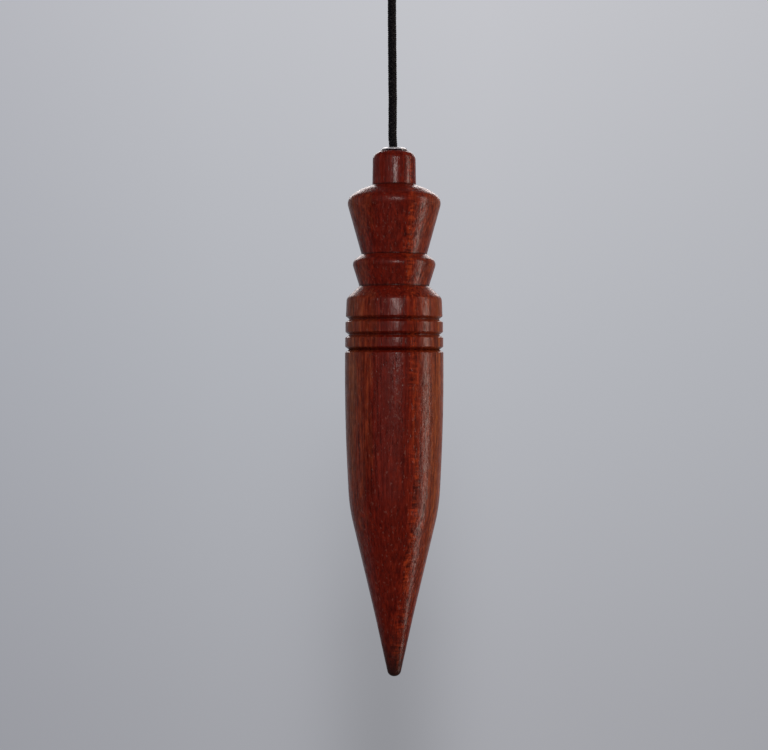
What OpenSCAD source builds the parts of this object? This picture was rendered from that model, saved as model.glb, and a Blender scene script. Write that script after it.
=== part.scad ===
// Turned wooden plumb bob on a black cord.
// The bob is a lower body and a screw-on head, with a brass slug in the body
// and the cord's stopper knot in the head. Heights are worked out from the
// tip of the point, and hung() then moves the origin to the hang point.

/* [Bob] */
// Height of the wood, from the tip to the top of the neck
bob_h = 99.6; // [98:0.1:104]
// Widest diameter of the lower body
body_d = 18.84; // [18.4:0.02:19.4]
// Height of the joint between the body and the head
joint_h = 62; // [60:0.1:64]
// Half angle of the long cone
cone_angle = 13.4; // [12.8:0.1:13.6]
// Half angle of the last stretch before the tip
point_angle = 12.4; // [11.8:0.1:12.8]
// Radius of the rounded tip
nose_r = 1.2; // [0.9:0.05:1.25]

/* [Head] */
// Diameter of the neck at its top
neck_d = 8.1; // [7.8:0.1:9]
// Height of the neck
neck_h = 6.4; // [5.8:0.1:7.6]
// Diameter of the top shoulder
shoulder_d = 17.5; // [16.8:0.1:18.2]
// Diameter of the waist under the long taper
waist_d = 12.4; // [11.6:0.1:13]
// Diameter of the middle collar
collar_d = 15.66; // [15:0.02:16.2]
// Diameter of the base of the head, above the rings
base_d = 18.36; // [18:0.02:18.5]
// Depth of the V grooves between the rings
groove_depth = 0.78; // [0.4:0.02:0.9]

/* [Screw joint] */
// Outer diameter of the thread on the spigot
thread_d = 11; // [10.6:0.1:11.6]
// Pitch of the thread
thread_pitch = 2; // [1.8:0.1:2.2]
// Depth of the thread
thread_depth = 0.8; // [0.6:0.05:0.9]
// Clearance between the two threads, on the radius
thread_gap = 0.15; // [0.12:0.01:0.2]
// Length of the spigot below the joint
spigot_h = 9.1; // [8.6:0.1:9.4]

/* [Ballast] */
// Diameter of the brass slug
slug_d = 8.9; // [7:0.1:9]
// Thickness of the cork pad on top of the slug
pad_h = 1; // [0.6:0.1:1.4]
// Height of the bottom of the ballast bore, at its wall
bore_floor_h = 24.5; // [24:0.5:34]

/* [Cord and fittings] */
// Diameter of the cord
cord_d = 1.6; // [1.2:0.1:1.7]
// Diameter of the eyelet's flange
eyelet_d = 5; // [4.6:0.1:5.2]
// Diameter of the eyelet's barrel
barrel_d = 3; // [2.9:0.1:3.2]
// Diameter of the hook or nail that the loop is made for
peg_d = 8; // [6:0.5:10]
// Height of the hang point above the tip
hang_h = 157; // [154:1:165]

/* [Hidden] */
$fn = 96;

fine_step = 6;        // most degrees between the points of a rounded corner
fine_length = 70;     // and most radius times degrees
thread_step = 12;     // degrees between the sections of a thread
cord_sides = 8;
slip = 0.02;          // gap of a glued or pressed fit
run = 0.05;           // gap of a running fit
swing_gap = 0.1;      // gap at the points where the cord bends
over = 1;             // how far a cut runs past a face
eps = 0.001;          // the same, where a longer one would cut something else

body_r = body_d / 2;
cord_r = cord_d / 2;

// The stack of the head, from the joint up
half_groove = 0.55;
groove_w = 2 * half_groove;
lower_ring_top_h = joint_h + 2.25;
upper_ring_h = lower_ring_top_h + groove_w;
upper_ring_top_h = upper_ring_h + 1.85;
base_h = upper_ring_top_h + groove_w;
neck_foot_h = bob_h - neck_h;
collar_foot_h = base_h + 5.75;
waist_h = collar_foot_h + 6;
lower_ring_r = body_r - 0.08;
upper_ring_r = body_r - 0.13;
collar_foot_r = waist_d / 2 + 0.42;

// The lower body: a long cone, a knee and a slow swell
nose_foot_r = nose_r - 0.1;
point_h = 12;
point_r = nose_foot_r + point_h * tan(point_angle);
knee_h = 32.2;
knee_r = point_r + (knee_h - point_h) * tan(cone_angle);
swell_h = 50;
swell_r = body_r + 0.05;

// The screw joint and what is inside
spigot_foot_h = joint_h - spigot_h;
thread_r = thread_d / 2;
root_r = thread_r - thread_depth;
socket_r = root_r + thread_gap;
ridge_foot_w = 0.72 * thread_pitch;
ridge_top_w = 0.26 * thread_pitch;
flank = (ridge_foot_w - ridge_top_w) / thread_depth;
thread_rise = 5;      // sections over which the ridge rises from nothing
thread_foot_h = spigot_foot_h + 1.2;
thread_top_h = joint_h - 1.4;
socket_slack = 2.3 * thread_gap;   // extra width of the groove in the socket
sink = 0.1;           // how far a ridge starts inside its rod
lead_in_h = 0.5;      // height of the cone at the mouth of the socket
lead_in_foot_r = socket_r + 0.5;
lead_in_top_r = thread_r + thread_gap + 0.2;
socket_floor_h = spigot_foot_h - 0.4;
bore_r = slug_d / 2 + run;
drill_angle = 59;
slug_foot_h = bore_floor_h - 0.3;
slug_top_h = spigot_foot_h - pad_h;
chamfer = 0.5;
pad_r = slug_d / 2 - 0.15;
knot_room_r = 2.9;
knot_room_top_h = joint_h - 0.8;
washer_h = 0.5;
washer_r = knot_room_r - 0.2;
cord_hole_r = cord_r + 0.35;
washer_hole_r = cord_r + 0.25;

// The eyelet and the points where the cord bends
barrel_h = 3.8;
barrel_room = 0.2;    // room below the barrel
flange_h = 0.66;
mouth_r = barrel_d / 2 - 0.35;
eyelet_bend_h = bob_h + 0.75;
cord_end_h = eyelet_bend_h - cord_r - swing_gap;
stopper_top_h = knot_room_top_h - washer_h - swing_gap;
stopper_h = 4.4;
stopper_r = 2.2;
stopper_end_h = 1.8;  // how far the cord's cut end hangs below the knot

// The cord's route above the eyelet: how far it stands off the axis at
// each height above the point where it bends
cord_route = [[0, 0], [-0.24, 1], [-0.32, 2.5], [-0.28, 8], [-0.31, 12],
              [-0.35, 16], [-0.38, 20], [-0.42, 25], [-0.43, 29], [-0.43, 32.4]];
cord_top_x = cord_route[len(cord_route) - 1][0];
knot_bend_h = eyelet_bend_h + cord_route[len(cord_route) - 1][1];
loop_knot_foot_h = knot_bend_h + cord_r + swing_gap;
loop_knot_h = 5.4;
loop_knot_r = 2.3;
cut_end_y = cord_d + 0.1;
cut_end_h = 2.6;      // how far the loop's cut end hangs below its knot
loop_bend_h = loop_knot_foot_h + loop_knot_h + cord_r + swing_gap;
leg_x = cord_r + 0.1;
loop_r = peg_d / 2 + cord_r;

// ---------------------------------------------------------------- outlines

// n + 1 points along an arc about c, from angle a to angle b
function arc_points(c, r, a, b, n) =
    [for (i = [0:n]) let (t = a + (b - a) * i / n) c + r * [cos(t), sin(t)]];

// The same, with a point every few degrees, or closer on a large radius
function arc(c, r, a, b) =
    arc_points(c, r, a, b, max(1, ceil(abs(b - a) / min(fine_step, fine_length / r))));

function unit(v) = v / norm(v);

// Points that round the corner p, between its neighbours, to radius r
function round_corner(before, p, after, r) =
    let (u = unit(before - p), v = unit(after - p),
         half = acos(u * v) / 2,
         c = p + unit(u + v) * r / sin(half),
         from = p + u * r / tan(half) - c,
         to = p + v * r / tan(half) - c,
         a = atan2(from.y, from.x),
         b = atan2(to.y, to.x),
         turn = b - a > 180 ? b - a - 360 : b - a < -180 ? b - a + 360 : b - a)
    arc(c, r, a, a + turn);

// An outline from [radius, height, corner radius] rows
function rounded(rows) =
    let (n = len(rows), at = [for (q = rows) [q.x, q.y]])
    [for (i = [0:n - 1])
        each rows[i].z == 0 ? [at[i]]
            : round_corner(at[(i + n - 1) % n], at[i], at[(i + 1) % n], rows[i].z)];

// The outside of the lower body, from the tip up to the joint
body_outline = [
    [0, 0, 0],
    [nose_foot_r, 0, nose_r],
    [point_r, point_h, 250],
    [knee_r, knee_h, 36],
    [swell_r, swell_h, 375],
    [body_r - 0.05, joint_h - half_groove, 0.12],
    [body_r - groove_depth, joint_h, 0],
    [0, joint_h, 0],
];

// The outside of the head, from the end of the spigot up to the neck
head_outline = [
    [0, spigot_foot_h, 0],
    [root_r - chamfer, spigot_foot_h, 0],
    [root_r, spigot_foot_h + chamfer, 0],
    [root_r, joint_h, 0],
    [body_r - groove_depth, joint_h, 0],
    [lower_ring_r, joint_h + half_groove, 0.15],
    [lower_ring_r, lower_ring_top_h, 0.15],
    [lower_ring_r - groove_depth, lower_ring_top_h + groove_w / 2, 0.08],
    [upper_ring_r, upper_ring_h, 0.15],
    [upper_ring_r, upper_ring_top_h, 0.15],
    [upper_ring_r - groove_depth, upper_ring_top_h + groove_w / 2, 0.08],
    [base_d / 2, base_h, 0.15],
    [base_d / 2 - 0.15, base_h + 3.45, 1.3],
    [collar_foot_r, collar_foot_h, 0.12],
    [collar_d / 2 + 0.22, collar_foot_h + 4.55, 1.3],
    [waist_d / 2, waist_h, 0.12],
    [shoulder_d / 2 + 0.38, neck_foot_h - 2.65, 2],
    [shoulder_d / 2 - 2.2, neck_foot_h - 0.9, 4],
    [neck_d / 2 + 0.1, neck_foot_h, 0.15],
    [neck_d / 2, bob_h, 1.6],
    [0, bob_h, 0],
];

// ---------------------------------------------------------------- helpers

// From heights above the tip to the frame of the hang point
module hung() translate([0, 0, -hang_h]) children();

module turned(rows) rotate_extrude() polygon(rounded(rows));

// A round rod of radius r from height low up to height high
module rod(r, low, high)
    translate([0, 0, low]) cylinder(r = r, h = high - low);

// The section of the thread from radius low_r to high_r, made wider by gap:
// [radius, height] of its four corners
function ridge(low_r, high_r, gap) =
    let (low_w = ridge_foot_w - (low_r - root_r) * flank + gap,
         high_w = ridge_foot_w - (high_r - root_r) * flank + gap)
    [[low_r, -low_w / 2], [high_r, -high_w / 2],
     [high_r, high_w / 2], [low_r, low_w / 2]];

// A right-hand ridge of that section between the heights low and high, in
// step with the joint face, that rises over its first and last few sections
module helix(section, low, high, rise) {
    first = ceil((low - joint_h) / thread_pitch * 360 / thread_step);
    last = floor((high - joint_h) / thread_pitch * 360 / thread_step);
    n = last - first;
    points = [for (i = [0:n])
        let (a = (first + i) * thread_step,
             k = rise == 0 ? 1 : 0.1 + 0.9 * min(1, i / rise, (n - i) / rise))
        for (q = section)
            let (r = section[0].x + (q.x - section[0].x) * k)
            [r * cos(a), r * sin(a), joint_h + thread_pitch * a / 360 + q.y * k]];
    sides = [for (i = [0:n - 1]) for (j = [0:3])
        let (a = 4 * i + j, b = 4 * i + (j + 1) % 4)
        each [[a, b, b + 4], [a, b + 4, a + 4]]];
    polyhedron(points, concat([[3, 2, 1, 0]], sides,
        [[4 * n, 4 * n + 1, 4 * n + 2, 4 * n + 3]]), convexity = 8);
}

// A round tube of radius r along a route in the plane y = 0, given as
// [x, z] rows, with rounded ends
module cord_tube(route, r) {
    last = len(route) - 1;
    function way(i) = unit(route[min(i + 1, last)] - route[max(i - 1, 0)]);
    // [centre, direction, radius] of each ring, with three more at each end
    rings = concat(
        [for (a = [80, 50, 25]) [route[0] - way(0) * r * sin(a), way(0), r * cos(a)]],
        [for (i = [0:last]) [route[i], way(i), r]],
        [for (a = [25, 50, 80]) [route[last] + way(last) * r * sin(a), way(last), r * cos(a)]]);
    m = len(rings);
    points = [for (g = rings) for (k = [0:cord_sides - 1])
        let (a = 360 * k / cord_sides, side = g[2] * cos(a), out = g[2] * sin(a))
        [g[0].x + g[1].y * side, out, g[0].y - g[1].x * side]];
    sides = [for (i = [0:m - 2]) for (k = [0:cord_sides - 1])
        let (a = cord_sides * i + k, b = cord_sides * i + (k + 1) % cord_sides)
        each [[a, a + cord_sides, b + cord_sides], [a, b + cord_sides, b]]];
    polyhedron(points, concat([[for (k = [0:cord_sides - 1]) k]], sides,
        [[for (k = [cord_sides - 1:-1:0]) cord_sides * (m - 1) + k]]), convexity = 4);
}

// ---------------------------------------------------------------- the bob

// Turned body: solid point, bore for the slug, and threaded socket on top
module bob_body() color([0.42, 0.13, 0.07]) hung()
    difference() {
        turned(body_outline);
        rod(bore_r, bore_floor_h, joint_h);
        // the drill's point at the foot of the bore
        translate([0, 0, bore_floor_h - bore_r / tan(drill_angle)])
            cylinder(r1 = 0, r2 = bore_r, h = bore_r / tan(drill_angle) + eps);
        rod(socket_r, socket_floor_h, joint_h + over);
        // the lead-in at the mouth of the socket
        translate([0, 0, joint_h - lead_in_h])
            cylinder(r1 = lead_in_foot_r, r2 = lead_in_top_r, h = lead_in_h + eps);
        helix(ridge(socket_r - sink, thread_r + thread_gap, socket_slack),
              socket_floor_h + ridge_foot_w / 2 + thread_gap, joint_h + over, 0);
    }

// Turned head: neck, shoulder, collar and rings, over a threaded spigot
module bob_head() color([0.46, 0.15, 0.08]) hung()
    difference() {
        union() {
            turned(head_outline);
            helix(ridge(root_r - sink, thread_r, 0), thread_foot_h, thread_top_h, thread_rise);
        }
        rod(knot_room_r, spigot_foot_h - over, knot_room_top_h);
        rod(cord_hole_r, knot_room_top_h - over, bob_h + over);
        rod(barrel_d / 2 + slip, bob_h - barrel_h - barrel_room, bob_h + over);
    }

// Nickel-plated eyelet: a rolled flange on a short barrel
module eyelet() color([0.8, 0.8, 0.82]) hung()
    translate([0, 0, bob_h])
        rotate_extrude() polygon(rounded([
            [mouth_r, -barrel_h, 0],
            [barrel_d / 2, -barrel_h, 0.12],
            [barrel_d / 2, 0, 0],
            [eyelet_d / 2 - 0.1, 0, 0],
            [eyelet_d / 2, 0.12, 0.1],
            [eyelet_d / 2 - 0.1, flange_h, 0.42],
            [mouth_r + 0.35, flange_h, 0.5],
            [mouth_r, 0, 0.6],
        ]));

// Brass washer that the stopper knot pulls against
module stop_washer() color([0.78, 0.6, 0.28]) hung()
    translate([0, 0, knot_room_top_h - washer_h])
        difference() {
            cylinder(r = washer_r, h = washer_h);
            translate([0, 0, -over]) cylinder(r = washer_hole_r, h = washer_h + 2 * over);
        }

// The knot that holds the cord in the head, and its cut end
module stopper_knot() color([0.07, 0.07, 0.07]) hung() {
    translate([0, 0, stopper_top_h - stopper_h])
        rotate_extrude() polygon(rounded([
            [0, 0, 0],
            [stopper_r, 0, 1.4],
            [stopper_r, stopper_h, 1.4],
            [0, stopper_h, 0],
        ]));
    rod(cord_r, stopper_top_h - stopper_h - stopper_end_h, stopper_top_h - stopper_h / 2);
}

// The stretch of the cord inside the head, from the eyelet to the knot
module cord_inside() color([0.07, 0.07, 0.07]) hung()
    rod(cord_r, stopper_top_h, cord_end_h);

// ---------------------------------------------------------------- the cord

// The free cord, from the eyelet to the loop's knot
module cord() color([0.06, 0.06, 0.06]) hung()
    translate([0, 0, eyelet_bend_h]) cord_tube(cord_route, cord_r);

// The knot under the hang loop, with the cut end behind the cord
module loop_knot() color([0.07, 0.07, 0.07]) hung()
    translate([cord_top_x, 0, loop_knot_foot_h]) {
        rotate_extrude() polygon(rounded([
            [0, 0, 0],
            [loop_knot_r, 0, 1.6],
            [loop_knot_r, loop_knot_h, 1.6],
            [0, loop_knot_h, 0],
        ]));
        translate([0, cut_end_y, 0]) rod(cord_r * 0.9, -cut_end_h, loop_knot_h / 3);
    }

// The loop, as it hangs on a round peg: two straight legs and an arc
module hang_loop() {
    centre = [0, hang_h - peg_d / 2];
    left = [cord_top_x - leg_x, loop_bend_h];
    right = [cord_top_x + leg_x, loop_bend_h];
    // the angle on the peg where a leg from foot meets it, on one side
    function meet(foot, side) =
        let (d = foot - centre)
        atan2(d.y, d.x) + side * acos(loop_r / norm(d));
    over_peg = arc_points(centre, loop_r, meet(left, -1) + 360, meet(right, 1), 14);
    legs = 4;
    last = len(over_peg) - 1;
    route = concat(
        [for (i = [0:legs - 1]) left + (over_peg[0] - left) * i / legs],
        over_peg,
        [for (i = [legs - 1:-1:0]) right + (over_peg[last] - right) * i / legs]);
    color([0.06, 0.06, 0.06]) hung() cord_tube(route, cord_r);
}

// ---------------------------------------------------------------- ballast

// Loose brass slug that gives the bob its weight
module ballast_slug() color([0.8, 0.62, 0.3]) hung()
    rotate_extrude() polygon([
        [0, slug_foot_h],
        [slug_d / 2 - chamfer, slug_foot_h],
        [slug_d / 2, slug_foot_h + chamfer],
        [slug_d / 2, slug_top_h - chamfer],
        [slug_d / 2 - chamfer, slug_top_h],
        [0, slug_top_h],
    ]);

// Cork pad that the head presses on the slug
module cork_pad() color([0.75, 0.58, 0.4]) hung()
    rod(pad_r, slug_top_h, spigot_foot_h);

bob_body();
bob_head();
eyelet();
stop_washer();
stopper_knot();
cord_inside();
cord();
loop_knot();
hang_loop();
ballast_slug();
cork_pad();
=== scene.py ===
"""The looks of a turned hardwood plumb bob that hangs from a black braided cord.

The turned outlines and the wood's figure are in millimetres, with heights from
the tip of the bob. Everything else is in metres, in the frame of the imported
model, whose origin is the hang point.
"""

import math
import random

import bpy
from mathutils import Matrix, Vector


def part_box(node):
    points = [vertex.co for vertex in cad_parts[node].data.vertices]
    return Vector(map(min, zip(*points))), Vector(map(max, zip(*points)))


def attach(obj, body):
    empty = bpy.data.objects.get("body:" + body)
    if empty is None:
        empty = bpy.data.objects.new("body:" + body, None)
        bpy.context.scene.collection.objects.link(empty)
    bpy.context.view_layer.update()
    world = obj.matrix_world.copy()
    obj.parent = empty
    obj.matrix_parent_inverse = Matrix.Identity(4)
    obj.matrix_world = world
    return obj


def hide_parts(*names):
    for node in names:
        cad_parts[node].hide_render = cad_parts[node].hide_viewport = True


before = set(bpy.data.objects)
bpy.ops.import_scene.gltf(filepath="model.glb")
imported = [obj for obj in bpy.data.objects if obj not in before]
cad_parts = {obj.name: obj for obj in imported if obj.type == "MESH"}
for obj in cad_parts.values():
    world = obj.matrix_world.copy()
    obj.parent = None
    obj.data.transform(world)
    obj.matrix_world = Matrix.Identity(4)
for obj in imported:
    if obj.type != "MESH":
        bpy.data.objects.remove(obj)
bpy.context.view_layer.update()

MM = 0.001
TIP_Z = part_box("bob_body")[0].z


def height_of(node, end):
    """The height of a node's lowest (0) or highest (1) point above the tip, in mm."""
    return (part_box(node)[end].z - TIP_Z) / MM


def radius_of(node):
    """The largest radius of a node that is round about the bob's axis, in mm."""
    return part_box(node)[1].y / MM


def radius_and_ends(node):
    """A round node's largest radius and its lowest and highest points, in mm."""
    return radius_of(node), height_of(node, 0), height_of(node, 1)


JOINT_H = height_of("bob_body", 1)
BOB_H = height_of("bob_head", 1)
BODY_R = radius_of("bob_body")
MIDDLE_Z = TIP_Z + 45 * MM  # the height about which the wood's layers lean
CORD_R = 0.8 * MM

# ------------------------------------------------------------------ camera

VIEW_W = 145.92 * MM       # width of the view at the bob's axis
SENSOR_W = 36
LENS = 70.3125             # the focal length, in mm like the sensor
HORIZON_H = 60.6           # height of the lens above the tip, in mm
AXIS_OFFSET = 1.938 * MM   # how far right of the middle the bob hangs
SHIFT_Y = -0.0234375       # a small shift of the view, as a part of its width


def add_camera():
    """A level camera at the height of the upper part of the body."""
    data = bpy.data.cameras.new("camera")
    data.sensor_width = SENSOR_W
    data.lens = LENS
    data.shift_y = SHIFT_Y
    data.clip_start = 0.01
    data.clip_end = 20
    camera = bpy.data.objects.new("camera", data)
    bpy.context.scene.collection.objects.link(camera)
    distance = VIEW_W * LENS / SENSOR_W
    camera.location = (-AXIS_OFFSET, -distance, TIP_Z + HORIZON_H * MM)
    camera.rotation_euler = (math.radians(90), 0, 0)
    bpy.context.scene.camera = camera


add_camera()

# ------------------------------------------------------------------ meshes


def make_object(name, points, faces, materials, smooth_below=40, slots=None):
    """A mesh object in the row frame, smooth but for edges sharper than an angle."""
    mesh = bpy.data.meshes.new(name)
    mesh.from_pydata(points, [], faces)
    mesh.update()
    for material in materials:
        mesh.materials.append(material)
    if slots:
        mesh.polygons.foreach_set("material_index", slots)
    mesh.shade_smooth()
    mesh.set_sharp_from_angle(angle=math.radians(smooth_below))
    obj = bpy.data.objects.new(name, mesh)
    bpy.context.scene.collection.objects.link(obj)
    return obj


def arc(centre, radius, start, turn, step):
    """Points along an arc that turns by some radians, no further than step apart."""
    n = max(2, math.ceil(abs(turn) / 0.12), math.ceil(abs(turn) * radius / step))
    return [(centre[0] + radius * math.cos(start + turn * i / n),
             centre[1] + radius * math.sin(start + turn * i / n)) for i in range(n + 1)]


def round_corner(before, corner, after, radius, step):
    """The points that round a corner between its two neighbours."""
    p = Vector(corner)
    u = (Vector(before) - p).normalized()
    v = (Vector(after) - p).normalized()
    half = u.angle(v) / 2
    centre = p + (u + v).normalized() * radius / math.sin(half)
    first = p + u * radius / math.tan(half) - centre
    last = p + v * radius / math.tan(half) - centre
    start = math.atan2(first.y, first.x)
    turn = (math.atan2(last.y, last.x) - start + math.pi) % math.tau - math.pi
    return arc(centre, radius, start, turn, step)


def outline(rows, step=0.6):
    """A closed outline, [radius, height] in mm, from [radius, height, corner] rows."""
    points = []
    for i, (r, h, corner) in enumerate(rows):
        before, after = rows[i - 1][:2], rows[(i + 1) % len(rows)][:2]
        points += round_corner(before, (r, h), after, corner, step) if corner else [(r, h)]
    return points


def lathe(name, points, materials, segments=192, slot_of=None, radius_at=None, smooth_below=40):
    """A solid turned about the bob's axis from a closed outline in mm.

    Neighbouring points on the axis close the solid. slot_of picks a material
    slot from the middle of a strip, and radius_at bends a ring into a thread.
    """
    rings, verts = [], []
    for r, h in points:
        z = TIP_Z + h * MM
        if r < 1e-6:
            rings.append([len(verts)] * segments)
            verts.append((0, 0, z))
            continue
        rings.append(list(range(len(verts), len(verts) + segments)))
        for k in range(segments):
            a = math.tau * k / segments
            ring_r = (radius_at(r, h, a) if radius_at else r) * MM
            verts.append((ring_r * math.cos(a), ring_r * math.sin(a), z))
    faces, slots = [], []
    for i, low in enumerate(rings):
        high = rings[(i + 1) % len(rings)]
        if low[0] == low[1] and high[0] == high[1]:
            continue
        j = (i + 1) % len(points)
        middle = ((points[i][0] + points[j][0]) / 2, (points[i][1] + points[j][1]) / 2)
        slot = slot_of(*middle) if slot_of else 0
        for k in range(segments):
            n = (k + 1) % segments
            corners = [low[k], low[n], high[n], high[k]]
            faces.append(list(dict.fromkeys(corners)))
            slots.append(slot)
    return make_object(name, verts, faces, materials, smooth_below, slots)


def dense(start, end, step):
    """Points from start to end in an outline, no further than step apart."""
    a, b = Vector(start), Vector(end)
    n = math.ceil((b - a).length / step)
    return [tuple(a.lerp(b, i / n)) for i in range(n + 1)]


# --------------------------------------------------------------- materials


def new_material(name):
    """A new material with an empty node tree; returns both."""
    material = bpy.data.materials.new(name)
    material.use_nodes = True
    tree = material.node_tree
    tree.nodes.clear()
    return material, tree


def add(tree, kind, settings=None, **inputs):
    """A shader node with its settings and inputs; an input may be another's output.

    An input is named, with _ for a space, or numbered as in i0.
    """
    node = tree.nodes.new("ShaderNode" + kind)
    for key, value in (settings or {}).items():
        setattr(node, key, value)
    for key, value in inputs.items():
        by_number = key[0] == "i" and key[1:].isdigit()
        socket = node.inputs[int(key[1:]) if by_number else key.replace("_", " ")]
        if isinstance(value, bpy.types.NodeSocket):
            tree.links.new(value, socket)
        else:
            socket.default_value = value
    return node


def math_node(tree, operation, a, b=0.0, c=0.0, clamp=False):
    """One arithmetic step; returns its output."""
    settings = {"operation": operation, "use_clamp": clamp}
    return add(tree, "Math", settings, i0=a, i1=b, i2=c).outputs[0]


def ramp(tree, value, stops):
    """A colour ramp from (position, colour or grey) stops; returns its colour output."""
    node = add(tree, "ValToRGB", Fac=value)
    elements = node.color_ramp.elements
    while len(elements) < len(stops):
        elements.new(1)
    for element, (position, colour) in zip(elements, stops):
        element.position = position
        if isinstance(colour, (int, float)):
            colour = (colour,) * 3
        element.color = (*colour, 1)
    return node.outputs["Color"]


def mix(tree, fac, a, b, blend="MIX"):
    """A mix of two colours; returns its output."""
    node = add(tree, "Mix", {"data_type": "RGBA", "blend_type": blend}, Factor=fac)
    for socket, value in zip((node.inputs[6], node.inputs[7]), (a, b)):
        if isinstance(value, bpy.types.NodeSocket):
            tree.links.new(value, socket)
        else:
            socket.default_value = (*value, 1)
    return node.outputs[2]


def stretched(tree, x, y, z, shift=(0, 0, 0)):
    """Row-frame coordinates in millimetres, scaled by x, y and z."""
    place = add(tree, "TexCoord").outputs["Object"]
    return add(tree, "Mapping", Vector=place, Scale=(x / MM, y / MM, z / MM),
               Location=shift).outputs["Vector"]


def noise(tree, vector, scale, detail=3.0, rough=0.55, distortion=0.0):
    """Smooth noise; returns its value output."""
    return add(tree, "TexNoise", Vector=vector, Scale=scale, Detail=detail,
               Roughness=rough, Distortion=distortion).outputs["Fac"]


def finish_material(material, tree, shader):
    """Links a shader to the material's output."""
    out = add(tree, "OutputMaterial")
    tree.links.new(shader.outputs[0], out.inputs["Surface"])
    return material


GROOVES = (JOINT_H, JOINT_H + 2.8, JOINT_H + 5.75)

# Colours across the growth layers, from the bob's left to its right: place in mm, colour. The layers on
# the right are lighter and more orange, partly as painted light from that side.
LAYERS_AND_SIDE_LIGHT = (
    (-9.6, (0.150, 0.0300, 0.0120)),
    (-8.9, (0.170, 0.0240, 0.0080)),
    (-8.1, (0.125, 0.0120, 0.0045)),
    (-7.3, (0.142, 0.0170, 0.0060)),
    (-6.4, (0.118, 0.0075, 0.0028)),
    (-5.2, (0.118, 0.0065, 0.0026)),
    (-3.6, (0.122, 0.0075, 0.0030)),
    (-2.2, (0.122, 0.0080, 0.0030)),
    (-1.2, (0.104, 0.0058, 0.0022)),
    (0.0, (0.138, 0.0095, 0.0028)),
    (1.1, (0.168, 0.0160, 0.0036)),
    (2.2, (0.138, 0.0110, 0.0030)),
    (3.3, (0.160, 0.0180, 0.0050)),
    (4.6, (0.165, 0.0210, 0.0050)),
    (6.2, (0.205, 0.0380, 0.0085)),
    (8.2, (0.210, 0.0400, 0.0095)),
)
LAYER_HALF = 10.0          # the ramp covers this many mm each way
LAYER_LEAN = 0.012         # how far the layers lean over per mm of height
LAYER_SKEW = 0.3           # and per mm towards the back
RIPPLE_AT = 0.75           # where the rippled grain is, in the layers' own mm
RIPPLE_HALF = 1.5          # half its width there
RIPPLE_PITCH = 0.60        # and about how far its bars are apart
SHADE_REACH = 0.5           # how far the painted shade reaches from the bottom of a groove, in mm
CORNER_SHADE = 0.75         # how dark the painted shade is in a corner, from 0 to 1
TIP_DARK_H = 10.5          # height to which the tip is darker with painted shade, in mm
TIP_DARK = 0.93            # and how much, at the very tip


def signed(tree, value, gain):
    """A noise value that is centred on 0 and scaled."""
    return math_node(tree, "MULTIPLY_ADD", value, gain, -0.5 * gain)


def fall_off(tree, distance, reach):
    """A value that falls from 1 where a distance is 0 to 0 where it is reach."""
    return math_node(tree, "SUBTRACT", 1.0, math_node(tree, "DIVIDE", distance, reach), clamp=True)


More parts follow.
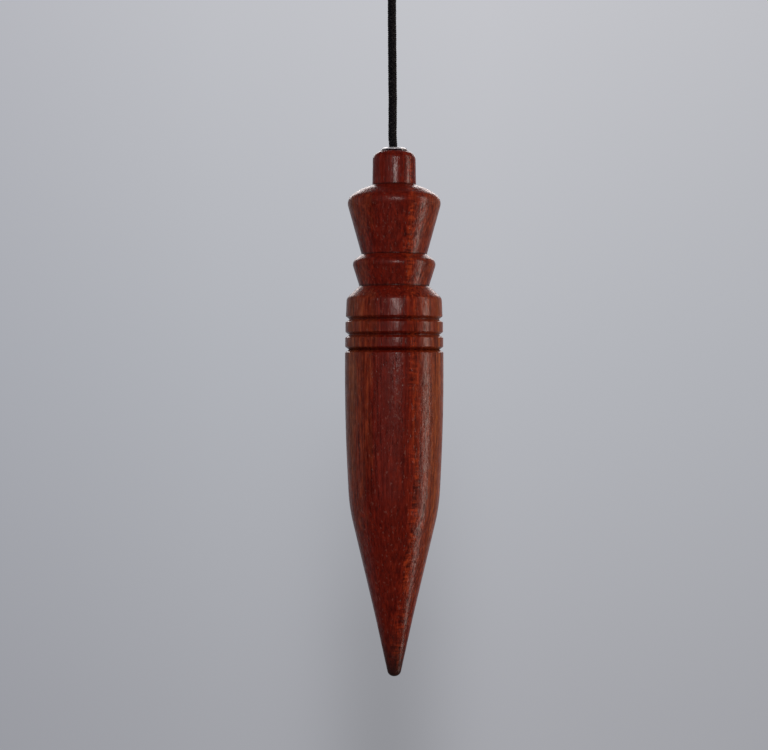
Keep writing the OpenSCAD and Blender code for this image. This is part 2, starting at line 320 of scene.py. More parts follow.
def wood_nodes(tree):
    """The figure of a dark red hardwood: returns its colour and its height for bump."""
    # growth layers stand nearly upright, side by side, waved by slow noise
    wander = signed(tree, noise(tree, stretched(tree, 0.10, 0.10, 0.022), 1.0, 2.0), 6.0)
    ragged = signed(tree, noise(tree, stretched(tree, 1.1, 1.1, 0.14), 1.0, 3.0, 0.55), 3.6)
    parts = add(tree, "SeparateXYZ", Vector=stretched(tree, 1, 1, 1, (0, 0, -MIDDLE_Z / MM)))
    across = math_node(tree, "MULTIPLY_ADD", parts.outputs["Z"], -LAYER_LEAN, parts.outputs["X"])
    across = math_node(tree, "MULTIPLY_ADD", parts.outputs["Y"], LAYER_SKEW, across)
    across = math_node(tree, "ADD", math_node(tree, "ADD", across, wander), ragged)
    place = math_node(tree, "MULTIPLY_ADD", across, 0.5 / LAYER_HALF, 0.5)
    colour = ramp(tree, place, [((x + LAYER_HALF) / (2 * LAYER_HALF), c) for x, c in LAYERS_AND_SIDE_LIGHT])

    # fibres, short streaks and fine mottling
    fibre = noise(tree, stretched(tree, 2.2, 2.2, 0.17), 1.0, 3.0, 0.6)
    streak = noise(tree, stretched(tree, 3.4, 3.4, 0.42, (5, 0, 0)), 1.0, 3.0, 0.55)
    mottle = noise(tree, stretched(tree, 1.5, 1.5, 0.7, (2, 8, 0)), 1.0, 4.0, 0.65)
    lines = noise(tree, stretched(tree, 2.3, 2.3, 0.045, (9, 4, 0)), 1.0, 2.0, 0.5)
    shade = math_node(tree, "ADD", signed(tree, fibre, 1.15), signed(tree, streak, 1.05))
    shade = math_node(tree, "ADD", shade, signed(tree, mottle, 1.0))
    shade = math_node(tree, "ADD", shade, signed(tree, lines, 1.2))
    # the middle layers are plainer than those at the sides
    contrast = ramp(tree, place, [(0.18, 0.95), (0.27, 0.6), (0.46, 0.7), (0.54, 1.05), (1.0, 0.85)])
    shade = math_node(tree, "MULTIPLY", shade, contrast)

    # rippled grain: short bars across the fibres, in one layer and in places
    bars = noise(tree, stretched(tree, 0.35, 0.35, 1.15 / RIPPLE_PITCH, (7, 3, 1)), 1.0, 2.0, 0.6)
    off = math_node(tree, "ABSOLUTE", math_node(tree, "SUBTRACT", across, RIPPLE_AT))
    near = fall_off(tree, off, RIPPLE_HALF)
    where = ramp(tree, noise(tree, stretched(tree, 0.5, 0.5, 0.16, (4, 9, 2)), 1.0, 2.0),
                 [(0.36, 0.0), (0.54, 1)])
    near = math_node(tree, "MULTIPLY", near, where)
    ripple = math_node(tree, "MULTIPLY", signed(tree, bars, 3.2), near)
    shade = math_node(tree, "MULTIPLY_ADD", ripple, 1.0, shade)

    # the shade darkens and reddens the colour, or lights it towards orange
    value = math_node(tree, "MULTIPLY_ADD", shade, 0.95, 0.5)
    gain = ramp(tree, value, [(0.0, (0.34, 0.22, 0.28)), (0.5, (1, 1, 1)), (1.0, (2.1, 2.7, 2.4))])
    colour = mix(tree, 1.0, colour, gain, "MULTIPLY")

    # open pores: short dark dashes
    dashes = add(tree, "TexVoronoi", {"feature": "F1"},
                 Vector=stretched(tree, 2.1, 2.1, 0.42, (3, 1, 0)), Scale=1.0,
                 Randomness=1.0).outputs["Distance"]
    pores = ramp(tree, dashes, [(0.10, 1), (0.22, 0)])
    colour = mix(tree, math_node(tree, "MULTIPLY", pores, 0.55), colour, (0.016, 0.003, 0.002))
    # pale patches: partly scuffs in the lacquer and partly painted reflection
    scuffs_and_painted_flecks = noise(tree, stretched(tree, 2.1, 2.1, 1.1, (11, 5, 3)), 1.0, 3.0, 0.6)
    scuffs_and_painted_flecks = ramp(tree, scuffs_and_painted_flecks, [(0.61, 0), (0.69, 0.5)])
    colour = mix(tree, scuffs_and_painted_flecks, colour, (0.22, 0.075, 0.055))
    bump = math_node(tree, "MULTIPLY_ADD", pores, -1.0, math_node(tree, "MULTIPLY", streak, 0.5))
    bump = math_node(tree, "MULTIPLY_ADD", fibre, 0.3, bump)
    return colour, bump


def painted_shade_places(tree):
    """Where shade is painted, from 0 to 1: at the foot of each groove and corner, and at the tip."""
    place = stretched(tree, 1, 1, 1, (0, 0, -TIP_Z / MM))
    parts = add(tree, "SeparateXYZ", Vector=place)
    level = parts.outputs["Z"]
    flat = add(tree, "CombineXYZ", X=parts.outputs["X"], Y=parts.outputs["Y"])
    radius = add(tree, "VectorMath", {"operation": "LENGTH"}, i0=flat.outputs[0]).outputs["Value"]
    depth = math_node(tree, "SUBTRACT", BODY_R - 0.2, radius, clamp=True)
    total = None
    for h in GROOVES:
        away = math_node(tree, "ABSOLUTE", math_node(tree, "SUBTRACT", level, h))
        near = fall_off(tree, away, SHADE_REACH)
        near = math_node(tree, "MULTIPLY", near, depth)
        total = near if total is None else math_node(tree, "MAXIMUM", total, near)
    for h, reach in CORNERS:
        away = math_node(tree, "ABSOLUTE", math_node(tree, "SUBTRACT", level, h))
        near = fall_off(tree, away, reach)
        total = math_node(tree, "MAXIMUM", total, math_node(tree, "MULTIPLY", near, CORNER_SHADE))
    # painted shade towards the tip
    tip = fall_off(tree, level, TIP_DARK_H)
    return total, math_node(tree, "MULTIPLY", tip, TIP_DARK)


def lacquered_wood():
    """The outside: dark red wood under a coat of gloss lacquer."""
    material, tree = new_material("lacquered_wood")
    colour, bump = wood_nodes(tree)
    corners, tip = painted_shade_places(tree)
    # painted shade in the grooves and the inside corners
    colour = mix(tree, corners, colour, (0.008, 0.002, 0.0015))
    # painted shade towards the tip
    colour = mix(tree, tip, colour, (0.016, 0.0085, 0.0075))
    # faint marks of the lathe tool under the lacquer
    marks = noise(tree, stretched(tree, 0.02, 0.02, 3.2), 1.0, 2.0, 0.8)
    bump = math_node(tree, "MULTIPLY_ADD", marks, 0.16, bump)
    relief = add(tree, "Bump", Height=bump, Strength=0.4, Distance=0.08 * MM).outputs["Normal"]
    waves = noise(tree, stretched(tree, 1.1, 1.1, 0.8), 1.0, 3.0, 0.6)
    coat_relief = add(tree, "Bump", Height=math_node(tree, "MULTIPLY_ADD", bump, 0.5, waves),
                      Strength=0.8, Distance=0.07 * MM).outputs["Normal"]
    rough = ramp(tree, noise(tree, stretched(tree, 1.2, 1.2, 0.3), 1.0, 3.0), [(0.3, 0.45), (0.7, 0.6)])
    # the lacquer has sunk into the pores, which breaks up its reflections
    sunk = noise(tree, stretched(tree, 2.8, 2.8, 0.8, (3, 3, 1)), 1.0, 3.0, 0.65)
    coat = ramp(tree, sunk, [(0.38, 0.25), (0.62, 1.0)])
    shader = add(tree, "BsdfPrincipled", Base_Color=colour, Roughness=rough, Normal=relief,
                 Coat_Weight=coat, Coat_Roughness=0.24, Coat_IOR=1.5, Coat_Normal=coat_relief)
    shader.inputs["Specular IOR Level"].default_value = 0.08
    return finish_material(material, tree, shader)


def bare_wood():
    """Inside the joint: the same wood, cut and left without lacquer."""
    material, tree = new_material("bare_wood")
    colour, bump = wood_nodes(tree)
    colour = mix(tree, 0.45, colour, (0.22, 0.075, 0.035))
    relief = add(tree, "Bump", Height=bump, Strength=0.5, Distance=0.1 * MM).outputs["Normal"]
    shader = add(tree, "BsdfPrincipled", Base_Color=colour, Roughness=0.72, Normal=relief)
    shader.inputs["Specular IOR Level"].default_value = 0.3
    return finish_material(material, tree, shader)


def plated_metal():
    """Nickel plate, with a little haze and wear, and painted shade under its rim."""
    material, tree = new_material("nickel_plate")
    haze = noise(tree, stretched(tree, 1.5, 1.5, 1.5), 1.0, 4.0)
    colour = ramp(tree, haze, [(0.3, (0.80, 0.79, 0.82)), (0.7, (0.92, 0.92, 0.96))])
    rough = ramp(tree, haze, [(0.3, 0.20), (0.7, 0.10)])
    # painted shade under the flange's rim, with a painted reflection of the dark wood
    parts = add(tree, "SeparateXYZ", Vector=stretched(tree, 1, 1, 1, (0, 0, -TIP_Z / MM - BOB_H)))
    under = ramp(tree, parts.outputs["Z"], [(0.20, 1), (0.32, 0)])
    colour = mix(tree, under, colour, (0.030, 0.016, 0.026))
    dents = noise(tree, stretched(tree, 2.5, 2.5, 2.5, (5, 0, 2)), 1.0, 2.0)
    relief = add(tree, "Bump", Height=dents, Strength=0.2, Distance=0.05 * MM).outputs["Normal"]
    shader = add(tree, "BsdfPrincipled", Base_Color=colour, Roughness=rough, Metallic=0.45,
                 Normal=relief)
    return finish_material(material, tree, shader)


def turned_brass():
    """Brass with fine rings from the lathe and a little tarnish."""
    material, tree = new_material("turned_brass")
    tarnish = noise(tree, stretched(tree, 0.5, 0.5, 0.3), 1.0, 4.0, 0.6)
    colour = ramp(tree, tarnish, [(0.30, (0.40, 0.25, 0.085)), (0.55, (0.66, 0.46, 0.18)),
                                  (0.80, (0.72, 0.53, 0.24))])
    rings = noise(tree, stretched(tree, 0.05, 0.05, 9.0), 1.0, 3.0, 0.8)
    rough = ramp(tree, rings, [(0.3, 0.26), (0.7, 0.42)])
    relief = add(tree, "Bump", Height=rings, Strength=0.3, Distance=0.05 * MM).outputs["Normal"]
    shader = add(tree, "BsdfPrincipled", Base_Color=colour, Roughness=rough, Metallic=1.0,
                 Normal=relief)
    return finish_material(material, tree, shader)


def black_cotton():
    """Black waxed cotton: fine fibres, with a soft sheen."""
    material, tree = new_material("black_cotton")
    fibres = noise(tree, stretched(tree, 7.0, 7.0, 5.0), 1.0, 4.0, 0.7)
    worn = noise(tree, stretched(tree, 0.9, 0.9, 0.5), 1.0, 2.0)
    tone = math_node(tree, "MULTIPLY_ADD", worn, 0.5, math_node(tree, "MULTIPLY", fibres, 0.5))
    colour = ramp(tree, tone, [(0.30, (0.0012, 0.0009, 0.0020)), (0.70, (0.0055, 0.0045, 0.0065))])
    glints = noise(tree, stretched(tree, 3.6, 3.6, 4.2, (2, 5, 1)), 1.0, 2.0, 0.6)
    colour = mix(tree, ramp(tree, glints, [(0.60, 0), (0.72, 0.7)]), colour, (0.075, 0.068, 0.066))
    relief = add(tree, "Bump", Height=fibres, Strength=0.6, Distance=0.06 * MM).outputs["Normal"]
    shader = add(tree, "BsdfPrincipled", Base_Color=colour, Roughness=0.62, Normal=relief,
                 Sheen_Weight=0.05, Sheen_Roughness=0.4)
    shader.inputs["Specular IOR Level"].default_value = 0.22
    return finish_material(material, tree, shader)


def cork():
    """Pressed cork: pale granules with dark seams."""
    material, tree = new_material("cork")
    place = stretched(tree, 1.3, 1.3, 1.3)
    granule = add(tree, "TexVoronoi", {"feature": "F1"}, Vector=place, Scale=1.0)
    seam = add(tree, "TexVoronoi", {"feature": "DISTANCE_TO_EDGE"}, Vector=place, Scale=1.0)
    tint = add(tree, "SeparateColor", Color=granule.outputs["Color"]).outputs[0]
    colour = ramp(tree, tint, [(0.0, (0.30, 0.15, 0.06)), (0.6, (0.50, 0.29, 0.13)),
                               (1.0, (0.62, 0.40, 0.20))])
    seams = ramp(tree, seam.outputs["Distance"], [(0.0, 1), (0.09, 0)])
    specks = noise(tree, stretched(tree, 6, 6, 6), 1.0, 3.0)
    colour = mix(tree, math_node(tree, "MULTIPLY", seams, 0.7), colour, (0.11, 0.05, 0.02))
    colour = mix(tree, 0.4, colour, ramp(tree, specks, [(0.35, 0.05), (0.6, 0.6)]), "MULTIPLY")
    height = math_node(tree, "MULTIPLY_ADD", seams, -0.6, specks)
    relief = add(tree, "Bump", Height=height, Strength=0.5, Distance=0.15 * MM).outputs["Normal"]
    shader = add(tree, "BsdfPrincipled", Base_Color=colour, Roughness=0.85, Normal=relief)
    return finish_material(material, tree, shader)


# --------------------------------------------------------------- the wood

GROOVE_DEPTH = 0.78
HALF_GROOVE = 0.55
NECK_H = 6.4
NECK_FOOT_H = BOB_H - NECK_H
RING_TOP_H = JOINT_H + 2.25
UPPER_RING_H = RING_TOP_H + 2 * HALF_GROOVE
UPPER_RING_TOP_H = UPPER_RING_H + 1.85
BASE_H = UPPER_RING_TOP_H + 2 * HALF_GROOVE
COLLAR_FOOT_H = BASE_H + 5.75
WAIST_H = COLLAR_FOOT_H + 6
WAIST_R = 6.2
NECK_R = 4.05
# height of each inside corner, and how far its painted shade reaches
CORNERS = ((COLLAR_FOOT_H, 0.35), (WAIST_H, 0.25), (NECK_FOOT_H, 0.3))

PITCH = 2.0
THREAD_DEPTH = 0.8
THREAD_R = 5.5
ROOT_R = THREAD_R - THREAD_DEPTH
THREAD_GAP = 0.15
SPIGOT_FOOT_H = height_of("bob_head", 0)
SOCKET_R = ROOT_R + THREAD_GAP
SOCKET_FLOOR_H = SPIGOT_FOOT_H - 0.4
BORE_R = radius_of("ballast_slug") + 0.05
BORE_FLOOR_H = height_of("ballast_slug", 0) + 0.3
KNOT_ROOM_R = 2.9
KNOT_ROOM_TOP_H = JOINT_H - 0.8
CORD_HOLE_R = 1.1
BARREL_R = 1.5
BARREL_H = 3.8
DRILL_SLOPE = math.tan(math.radians(59))
PLAIN_FOOT = 0.8           # plain lengths under and over the spigot's thread
PLAIN_TOP = 0.9
THREAD_FADE = 0.7          # length in which the ridge rises from nothing
SOCKET_PLAIN = 0.3         # the same in the socket
SOCKET_FADE = 0.5
SOCKET_SLACK = 0.17        # how much wider the groove in the socket is, each way


def ridge(h, angle, grow=0.0):
    """How far the thread's ridge stands out at a height and an angle, from 0 to 1."""
    phase = (h - JOINT_H) / PITCH - angle / math.tau
    away = abs((phase + 0.5) % 1 - 0.5) * PITCH
    foot, top = 0.36 * PITCH + grow, 0.13 * PITCH + grow
    return min(1.0, max(0.0, (foot - away) / (foot - top)))


def spigot_radius(r, h, angle):
    """The head's rings, with the thread raised on those of the spigot."""
    if abs(r - ROOT_R) > 1e-6:
        return r
    plain_end = min(h - SPIGOT_FOOT_H - PLAIN_FOOT, JOINT_H - PLAIN_TOP - h)
    rise = min(1.0, max(0.0, plain_end / THREAD_FADE))
    return r + THREAD_DEPTH * rise * ridge(h, angle)


def socket_radius(r, h, angle):
    """The body's rings, with the thread cut in those of the socket."""
    if abs(r - SOCKET_R) > 1e-6:
        return r
    rise = min(1.0, max(0.0, (h - SOCKET_FLOOR_H - SOCKET_PLAIN) / SOCKET_FADE))
    return r + THREAD_DEPTH * rise * ridge(h, angle, SOCKET_SLACK)


def point_outline():
    """The lower body: up the outside from the tip, then down the socket and the bore."""
    nose_r = 1.1
    point_h, knee_h, swell_h = 12, 32.2, 50
    point_r = nose_r + point_h * math.tan(math.radians(12.4))
    knee_r = point_r + (knee_h - point_h) * math.tan(math.radians(13.4))
    outside = outline([
        [0, 0, 0],
        [nose_r, 0, 1.2],
        [point_r, point_h, 250],
        [knee_r, knee_h, 36],
        [BODY_R + 0.06, swell_h, 375],
        [BODY_R - 0.04, JOINT_H - HALF_GROOVE, 0.15],
        [BODY_R - GROOVE_DEPTH, JOINT_H, 0],
    ])
    socket = dense((SOCKET_R, JOINT_H - 0.5), (SOCKET_R, SOCKET_FLOOR_H), 0.1)
    inside = [(THREAD_R + 0.35, JOINT_H), *socket, (BORE_R, SOCKET_FLOOR_H),
              *dense((BORE_R, SOCKET_FLOOR_H - 0.5), (BORE_R, BORE_FLOOR_H), 4),
              (0, BORE_FLOOR_H - BORE_R / DRILL_SLOPE)]
    return outside + inside


def head_outline():
    """The head: up the outside from the spigot to the neck, then down the cord's hole."""
    ring_r, upper_ring_r = BODY_R - 0.07, BODY_R - 0.12
    base_r, shoulder_r, collar_r = 9.18, 8.75, 7.83
    outside = outline([
        [ROOT_R, JOINT_H, 0],
        [BODY_R - GROOVE_DEPTH, JOINT_H, 0],
        [ring_r, JOINT_H + HALF_GROOVE, 0.18],
        [ring_r, RING_TOP_H, 0.18],
        [ring_r - GROOVE_DEPTH, RING_TOP_H + HALF_GROOVE, 0.1],
        [upper_ring_r, UPPER_RING_H, 0.18],
        [upper_ring_r, UPPER_RING_TOP_H, 0.18],
        [upper_ring_r - GROOVE_DEPTH, UPPER_RING_TOP_H + HALF_GROOVE, 0.1],
        [base_r, BASE_H, 0.18],
        [base_r - 0.15, BASE_H + 3.45, 1.3],
        [WAIST_R + 0.42, COLLAR_FOOT_H, 0.15],
        [collar_r + 0.22, COLLAR_FOOT_H + 4.55, 1.3],
        [WAIST_R, WAIST_H, 0.15],
        [shoulder_r + 0.38, NECK_FOOT_H - 2.65, 2],
        [shoulder_r - 2.2, NECK_FOOT_H - 0.9, 4],
        [NECK_R + 0.1, NECK_FOOT_H, 0.2],
        [NECK_R, BOB_H, 1.6],
        [BARREL_R + 0.02, BOB_H, 0],
    ])[1:]
    inside = [(BARREL_R + 0.02, BOB_H - BARREL_H - 0.2), (CORD_HOLE_R, BOB_H - BARREL_H - 0.2),
              *dense((CORD_HOLE_R, BOB_H - BARREL_H - 1), (CORD_HOLE_R, KNOT_ROOM_TOP_H), 4),
              *dense((KNOT_ROOM_R, KNOT_ROOM_TOP_H), (KNOT_ROOM_R, SPIGOT_FOOT_H), 2),
              (ROOT_R - 0.4, SPIGOT_FOOT_H)]
    spigot = dense((ROOT_R, SPIGOT_FOOT_H + 0.4), (ROOT_R, JOINT_H), 0.1)
    return inside + spigot + outside


def add_wood():
    """The lower body and the head, lacquered outside and bare inside."""
    materials = [lacquered_wood(), bare_wood()]

    def point_slot(r, h):
        return 1 if h > BORE_FLOOR_H - 4 and r < THREAD_R + 0.4 else 0

    def head_slot(r, h):
        return 1 if r < THREAD_R and h < JOINT_H + 0.01 or r < BARREL_R + 0.1 else 0

    point = lathe("wooden_point", point_outline(), materials,
                  slot_of=point_slot, radius_at=socket_radius)
    head = lathe("wooden_head", head_outline(), materials,
                 slot_of=head_slot, radius_at=spigot_radius)
    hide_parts("bob_body")
    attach(point, "point")
    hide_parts("bob_head")
    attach(head, "head")


add_wood()

# ------------------------------------------------------- metal and cork


def add_fittings():
    """The eyelet, the stop washer, the brass slug and the cork pad."""
    nickel, brass = plated_metal(), turned_brass()
    flange_r = radius_of("eyelet")
    flange_h = height_of("eyelet", 1) - BOB_H
    mouth_r = BARREL_R - 0.35
    eyelet = lathe("nickel_eyelet", outline([
        [mouth_r, BOB_H - BARREL_H, 0],
        [BARREL_R, BOB_H - BARREL_H, 0.12],
        [BARREL_R, BOB_H, 0],
        [flange_r - 0.45, BOB_H, 0],
        [flange_r - 0.15, BOB_H + 0.04, 0.1],
        [flange_r + 0.02, BOB_H + 0.22, 0.12],
        [flange_r - 0.05, BOB_H + 0.45, 0.12],
        [flange_r - 0.5, BOB_H + flange_h, 0.5],
        [mouth_r + 0.3, BOB_H + flange_h + 0.02, 0.35],
        [mouth_r, BOB_H, 0.6],
    ], 0.08), [nickel], segments=160)
    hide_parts("eyelet")
    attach(eyelet, "head")

    washer_r, low, high = radius_and_ends("stop_washer")
    washer = lathe("brass_washer", outline([
        [CORD_HOLE_R - 0.1, low, 0.06], [washer_r, low, 0.1],
        [washer_r, high, 0.1], [CORD_HOLE_R - 0.1, high, 0.06],
    ], 0.1), [brass], segments=96)
    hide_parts("stop_washer")
    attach(washer, "head")

    slug_r, low, high = radius_and_ends("ballast_slug")
    slug = lathe("brass_slug", outline([
        [0, low, 0], [slug_r - 0.5, low, 0.1], [slug_r, low + 0.5, 0.2],
        [slug_r, high - 0.5, 0.2], [slug_r - 0.5, high, 0.1],
        [0.9, high, 0.1], [0, high - 0.6, 0],
    ], 0.3), [brass], segments=128)
    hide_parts("ballast_slug")
    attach(slug, "ballast")

    pad_r, low, high = radius_and_ends("cork_pad")
    pad = lathe("cork_disc", outline([
        [0, low, 0], [pad_r, low, 0.15], [pad_r, high, 0.15], [0, high, 0],
    ], 0.2), [cork()], segments=96,
        radius_at=lambda r, h, a: r - 0.04 * (1 + math.sin(7 * a) * math.sin(11 * a + 2)))
    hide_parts("cork_pad")
    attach(pad, "ballast")


add_fittings()

# ---------------------------------------------------------------- the cord

CARRIERS = 6               # strands that wind each way round the cord
BRAID_PITCH = 4.8 * MM     # length in which a strand goes once round
STRAND_SIDES = 6
BEND_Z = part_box("cord")[0].z + CORD_R
CORD_TOP_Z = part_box("cord")[1].z - CORD_R
STRAND_R = 0.165 * MM      # half a strand's thickness
STRAND_W = 0.30 * MM       # and half its width
WEAVE = 0.075 * MM         # how far a strand rises and sinks as it crosses the others
KNOT_TUCK = 1.9 * MM       # how far the cord and the loop's legs run on into the loop's knot
KNOT_X = -0.43 * MM        # how far the loop's knot hangs off the bob's axis
SPLINE_STEPS = 24          # points on each stretch of a route, before they are spaced evenly
WRAP_STEPS = 14            # points on each turn of a wound cord


def resample(points, step):
    """Points at even steps along a polyline, smoothed through Catmull-Rom splines."""
    p = [Vector(q) for q in points]
    p = [2 * p[0] - p[1], *p, 2 * p[-1] - p[-2]]
    fine = []
    for a, b, c, d in zip(p, p[1:], p[2:], p[3:]):
        for k in range(SPLINE_STEPS):
            t = k / SPLINE_STEPS
            fine.append(0.5 * (2 * b + (c - a) * t + (2 * a - 5 * b + 4 * c - d) * t * t
                               + (3 * b - a - 3 * c + d) * t ** 3))
    fine.append(p[-2])
    lengths = [0.0]
    for a, b in zip(fine, fine[1:]):
        lengths.append(lengths[-1] + (b - a).length)
    n = max(4, round(lengths[-1] / step))
    out, k = [], 0
    for i in range(n + 1):
        s = lengths[-1] * i / n
        while k < len(lengths) - 2 and lengths[k + 1] < s:
            k += 1
        span = lengths[k + 1] - lengths[k]
        out.append(fine[k].lerp(fine[k + 1], (s - lengths[k]) / span if span else 0))
    return out


def frames(path):
    """A direction and two sides at each point of a path, carried along without twist."""
    ways = []
    for i in range(len(path)):
        ways.append((path[min(i + 1, len(path) - 1)] - path[max(i - 1, 0)]).normalized())
    side = ways[0].orthogonal().normalized()
    out = []
    for way in ways:
        side = (side - way * side.dot(way)).normalized()
        out.append((way, side, way.cross(side)))
    return out


def tube(path, radii, sides, verts, faces):
    """Adds a closed tube with elliptic rings: radii gives (outward, across) at a point."""
    start = len(verts)
    for i, (centre, out, across) in enumerate(path):
        a_r, b_r = radii(i)
        for k in range(sides):
            a = math.tau * k / sides
            verts.append(centre + out * (a_r * math.cos(a)) + across * (b_r * math.sin(a)))
    n = len(path)
    for i in range(n - 1):
        for k in range(sides):
            a, b = start + i * sides + k, start + i * sides + (k + 1) % sides
            faces.append((a, b, b + sides, a + sides))
    faces.append(tuple(start + k for k in reversed(range(sides))))
    faces.append(tuple(start + (n - 1) * sides + k for k in range(sides)))


def braid(name, points, material, taper=(0.0, 0.0), radius=1.07 * CORD_R, loose=0.03, seed=1):
    """A round braided cord along a path, with a core; returns it and its centreline."""
    rng = random.Random(seed)
    step = BRAID_PITCH / (CARRIERS * 2 * 3)
    path = resample(points, step)
    axes = frames(path)
    n = len(path)
    length = step * (n - 1)
    turn = math.tau / BRAID_PITCH
    strand_r = STRAND_R * radius / CORD_R
    strand_w = STRAND_W * radius / CORD_R

    def shrink(i):
        """The cord narrows at an end where taper is not 0."""
        near = [min(1.0, (s + 0.15 * MM) / t) if t else 1.0
                for s, t in ((step * i, taper[0]), (step * (n - 1 - i), taper[1]))]
        return math.sqrt(1 - (1 - min(near)) ** 2)

    verts, faces = [], []
    core = [(path[i], axes[i][1], axes[i][2]) for i in range(n)]
    core_r = radius - 2 * strand_r - WEAVE * 0.4
    tube(core, lambda i: (core_r * shrink(i), core_r * shrink(i)), 10, verts, faces)
    mid_r = radius - strand_r - WEAVE
    for direction in (1, -1):
        for c in range(CARRIERS):
            offset = math.tau * c / CARRIERS
            slack = [rng.uniform(-1, 1) * loose * MM for _ in range(3)]
            strand = []
            for i, (way, side, up) in enumerate(axes):
                s = step * i
                angle = direction * (offset + turn * s)
                out = side * math.cos(angle) + up * math.sin(angle)
                lift = direction * WEAVE * math.cos(CARRIERS * turn * s)
                drift = slack[0] * math.sin(s / length * 9 + slack[1] / MM * 40)
                centre = path[i] + out * ((mid_r + lift + drift) * shrink(i))
                strand.append((centre, out, way.cross(out)))
            tube(strand, lambda i: (strand_r * shrink(i), strand_w * shrink(i)),
                 STRAND_SIDES, verts, faces)
    obj = make_object(name, verts, faces, [material], smooth_below=75)
    return obj, path


def wrap_points(x, low, high, radius, turns, start_angle, tail):
    """The path of a cord wound round another, with its end tucked down beside it."""
    points = []
    n = round(turns * WRAP_STEPS)
    for i in range(n + 1):
        a = start_angle + math.tau * turns * i / n
        z = high + (low - high) * i / n
        points.append((x + radius * math.cos(a), radius * math.sin(a), z))
    return points + tail


def add_cord():
    """The free cord, the knots, the loop and the stretch inside the head."""
    black = black_cotton()

    def place(obj, node, body):
        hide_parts(node)
        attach(obj, body)

    # how far the cord stands off the axis at heights above the eyelet, in mm
    route = [(0, 0), (-0.24, 1), (-0.32, 2.5), (-0.28, 8), (-0.31, 12), (-0.35, 16),
             (-0.38, 20), (-0.42, 25), (-0.43, 29), (-0.43, (CORD_TOP_Z - BEND_Z) / MM)]
    points = [Vector((x * MM, 0, BEND_Z + h * MM)) for x, h in route]
    # down in the eyelet the cord leans on the side of the hole
    points[0] += Vector((-0.16 * MM, 0, -0.5 * MM))
    points[-1].z += KNOT_TUCK
    cord, cord_path = braid("black_cord", points, black, taper=(0.8 * MM, 0.8 * MM))
    place(cord, "cord", "line")

    # the stretch inside the head reaches up to meet it in the eyelet
    low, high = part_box("cord_inside")[0].z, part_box("cord_inside")[1].z + 0.6 * MM
    points = [(0, 0, high - k * (high - low) / 6) for k in range(7)]
    inside, _ = braid("cord_in_head", points, black, taper=(0.8 * MM, 0), seed=2)
    place(inside, "cord_inside", "line_end")

    # a stopper knot: the cord wound round itself, with its end below
    low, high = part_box("stopper_knot")[0].z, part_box("stopper_knot")[1].z
    wind = 1.42 * MM
    knot_low = low + 1.8 * MM + CORD_R
    tail = [(0.9 * MM, -0.5 * MM, knot_low - 0.3 * MM), (0.2 * MM, -0.1 * MM, knot_low - 1.1 * MM),
            (0, 0, low + 0.1 * MM)]
    points = wrap_points(0, knot_low, high - 0.8 * MM, wind, 2.1, 0.4, tail)
    stopper, _ = braid("stopper_knot_wound", points, black, taper=(0.8 * MM, 0.3 * MM), seed=3)
    place(stopper, "stopper_knot", "line_end")

    # the loop's knot, wound round the standing cord
    low = CORD_TOP_Z + CORD_R + 0.1 * MM
    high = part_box("loop_knot")[1].z
    tail_y = 1.7 * MM
    wind = 1.52 * MM
    tail = [(KNOT_X + 0.2 * MM, tail_y, low + 0.2 * MM), (KNOT_X, tail_y, low - 1.0 * MM),
            (KNOT_X, tail_y + 0.05 * MM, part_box("loop_knot")[0].z + 0.1 * MM)]
    points = wrap_points(KNOT_X, low + 0.9 * MM, high - 0.8 * MM, wind, 3.15, -0.7, tail)
    knot, _ = braid("loop_knot_wound", points, black, taper=(0.8 * MM, 0.3 * MM), seed=4)
    place(knot, "loop_knot", "knot")

    # the loop over its peg: a leg up, round the top and a leg down
    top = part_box("hang_loop")[1].z - CORD_R
    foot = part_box("hang_loop")[0].z + CORD_R
    bow = (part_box("hang_loop")[1].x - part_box("hang_loop")[0].x) / 2 - CORD_R
    leg_x = 0.9 * MM
    arc_z = top - bow
    leg_top_x = 0.94 * bow
    leg_rise = arc_z - foot - 1.3 * MM

    def leg(side):
        """A leg's points from the knot to the foot of the arc, on the right (1) or left (-1)."""
        return [(KNOT_X * (1 - t) + side * (leg_x * (1 - t) + leg_top_x * t), foot + leg_rise * t)
                for t in (0, 0.25, 0.5, 0.75, 1)]

    over = [(bow * math.cos(math.radians(a)), arc_z + bow * math.sin(math.radians(a)))
            for a in range(0, 181, 15)]
    tucked = [(KNOT_X + side * 0.45 * MM, foot - KNOT_TUCK) for side in (1, -1)]
    points = [(x, 0, z) for x, z in tucked[:1] + leg(1) + over + leg(-1)[::-1] + tucked[1:]]
    loop, _ = braid("cord_loop", points, black, taper=(0.8 * MM, 0.8 * MM), seed=5)
    place(loop, "hang_loop", "hanger")


add_cord()

# ---------------------------------------------------------------- studio

STAGE_R = 1.5
STAGE_FLOOR_Z = TIP_Z - 0.6
STAGE_TOP_Z = 1.6
COVE_R = 0.35
SHADOW_HALF = 0.075        # half the width of the bob's shadow on the wall
SHADOW_DARK = 0.25
STAGE_SPAN = 1.0           # the tones run this many metres up, down and sideways
# painted light on the glowing paper: darker low down and towards the sides, lightest a little right of
# the middle
STAGE_TONES = [(0.0, (0.300, 0.303, 0.325)), (0.25, (0.375, 0.380, 0.410)),
               (0.45, (0.452, 0.464, 0.500)), (0.665, (0.545, 0.551, 0.585)),
               (1.0, (0.68, 0.68, 0.70))]
STAGE_SIDES = [(0.0, (0.76, 0.77, 0.80)), (0.28, (0.86, 0.865, 0.88)), (0.40, (0.95, 0.955, 0.96)),
               (0.56, (1.01, 1.01, 1.01)), (0.72, (0.955, 0.955, 0.955)), (1.0, (0.85, 0.85, 0.85))]


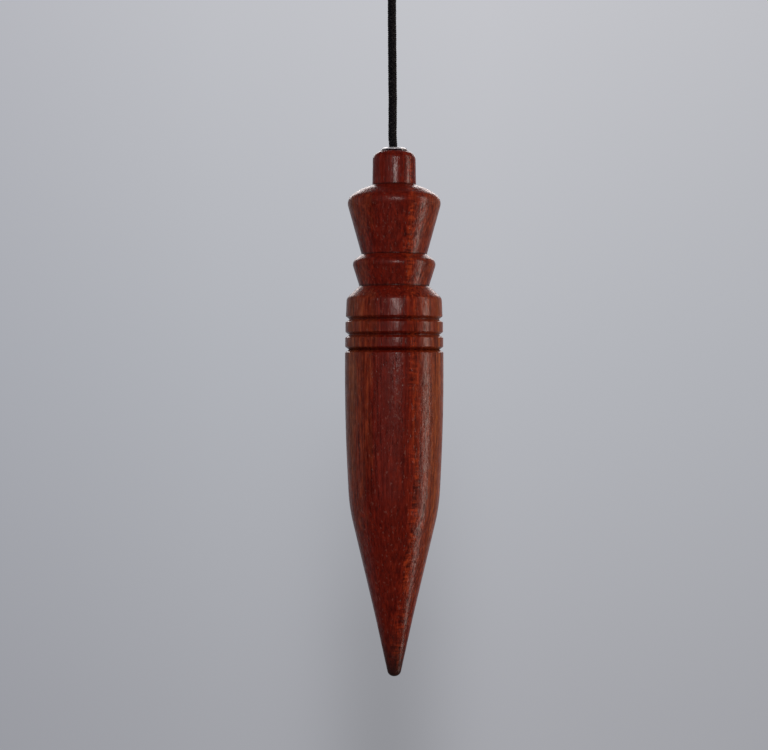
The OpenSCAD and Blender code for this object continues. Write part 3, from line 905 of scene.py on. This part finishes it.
def add_stage():
    """A round pale cove: a floor that curves up into a wall on every side. Its paper glows, with
    painted light and shade in its tones.
    """
    material, tree = new_material("stage_paper")
    parts = add(tree, "SeparateXYZ", Vector=add(tree, "TexCoord").outputs["Object"])
    level = math_node(tree, "MULTIPLY_ADD", parts.outputs["Z"], 0.5 / STAGE_SPAN, 0.5)
    colour = ramp(tree, level, STAGE_TONES)
    side = math_node(tree, "MULTIPLY_ADD", parts.outputs["X"], 0.5 / STAGE_SPAN, 0.5)
    colour = mix(tree, 1.0, colour, ramp(tree, side, STAGE_SIDES), "MULTIPLY")
    # the bob's soft shadow, low on the wall behind it
    off = math_node(tree, "DIVIDE", parts.outputs["X"], SHADOW_HALF)
    square = math_node(tree, "MULTIPLY", off, off)
    across = math_node(tree, "POWER", math.e, math_node(tree, "MULTIPLY", square, -1.0))
    low = ramp(tree, level, [(0.29, 1), (0.36, 0.6), (0.43, 0)])
    behind = ramp(tree, math_node(tree, "ADD", parts.outputs["Y"], 0.5), [(0.45, 0), (0.55, 1)])
    shade = math_node(tree, "MULTIPLY", across, math_node(tree, "MULTIPLY", low, behind))
    colour = mix(tree, math_node(tree, "MULTIPLY", shade, SHADOW_DARK), colour,
                 (0.03, 0.03, 0.03))
    # the paper glows with its painted light and shadow
    shader = add(tree, "BsdfPrincipled", Base_Color=(0.03, 0.03, 0.03, 1), Roughness=0.9,
                 Emission_Color=colour, Emission_Strength=1.0)
    shader.inputs["Specular IOR Level"].default_value = 0.0
    finish_material(material, tree, shader)

    corner = [(STAGE_R - COVE_R + COVE_R * math.sin(t), STAGE_FLOOR_Z + COVE_R * (1 - math.cos(t)))
              for t in (math.radians(a) for a in range(0, 91, 6))]
    rows = [(0.3, STAGE_FLOOR_Z), (0.7, STAGE_FLOOR_Z), *corner,
            (STAGE_R, (STAGE_TOP_Z + STAGE_FLOOR_Z) / 2), (STAGE_R, STAGE_TOP_Z)]
    segments = 96
    verts = [(0, 0, STAGE_FLOOR_Z)]
    for r, z in rows:
        verts += [(r * math.cos(math.tau * k / segments), r * math.sin(math.tau * k / segments), z)
                  for k in range(segments)]
    faces = [(0, 1 + k, 1 + (k + 1) % segments) for k in range(segments)]
    for i in range(len(rows) - 1):
        for k in range(segments):
            a, b = 1 + i * segments + k, 1 + i * segments + (k + 1) % segments
            faces.append((a, a + segments, b + segments, b))
    stage = make_object("stage", verts, faces, [material])
    stage.visible_glossy = False
    stage.visible_diffuse = False
    stage.visible_shadow = False


def add_panel(name, azimuth, elevation, distance, width, height, radiance, tint):
    """A soft light that faces the bob; azimuth 0 is on the camera's side, 90 on the right."""
    a, e = math.radians(azimuth), math.radians(elevation)
    way = Vector((math.sin(a) * math.cos(e), -math.cos(a) * math.cos(e), math.sin(e)))
    data = bpy.data.lights.new(name, "AREA")
    data.shape = "RECTANGLE"
    data.size, data.size_y = width, height
    data.energy = radiance * math.pi * width * height
    data.color = tint
    light = bpy.data.objects.new(name, data)
    light.location = Vector((0, 0, TIP_Z + HORIZON_H * MM)) + way * distance
    light.rotation_euler = (-way).to_track_quat("-Z", "Y").to_euler()
    light.visible_camera = False
    bpy.context.scene.collection.objects.link(light)
    return light


# name, azimuth, elevation, distance, width, height, radiance, colour
PANELS = (
    ("tall_box", 80, 0, 0.6, 0.15, 0.85, 3.7, (1.0, 0.83, 0.73)),
    ("front_box", 5, 15.2, 0.6, 0.13, 0.207, 9.0, (1.0, 0.88, 0.85)),
    ("rim_box", 180, 25, 0.8, 0.60, 0.30, 2.7, (1.0, 0.92, 0.90)),
    ("left_fill", -100, 0, 0.8, 0.6, 0.9, 0.13, (1, 1, 1)),
)
# the same for lights that don't show in the lacquer
HIDDEN_PANELS = (
    ("front_fill", -25, 15, 0.9, 0.9, 0.9, 1.5, (1, 1, 1)),
    ("right_fill", 100, 0, 0.9, 0.6, 0.9, 1.6, (1.0, 0.85, 0.70)),
)


def add_light():
    """A tall box on the right, one over the camera, one behind, fills and a dim room."""
    for panel in PANELS:
        add_panel(*panel)
    for panel in HIDDEN_PANELS:
        add_panel(*panel).visible_glossy = False

    world = bpy.data.worlds.new("room")
    bpy.context.scene.world = world
    world.use_nodes = True
    tree = world.node_tree
    tree.nodes.clear()
    way = add(tree, "TexCoord").outputs["Generated"]
    parts = add(tree, "SeparateXYZ", Vector=way)
    back = math_node(tree, "MULTIPLY_ADD", parts.outputs["Y"], 0.5, 0.5)
    colour = ramp(tree, back, [(0.35, (0.03, 0.03, 0.032)), (0.80, (0.07, 0.07, 0.075)),
                               (1.0, (0.36, 0.36, 0.39))])
    shader = add(tree, "Background", Color=colour, Strength=1.0)
    out = add(tree, "OutputWorld")
    tree.links.new(shader.outputs[0], out.inputs["Surface"])
    bpy.context.scene.view_settings.view_transform = "Standard"


add_stage()
add_light()
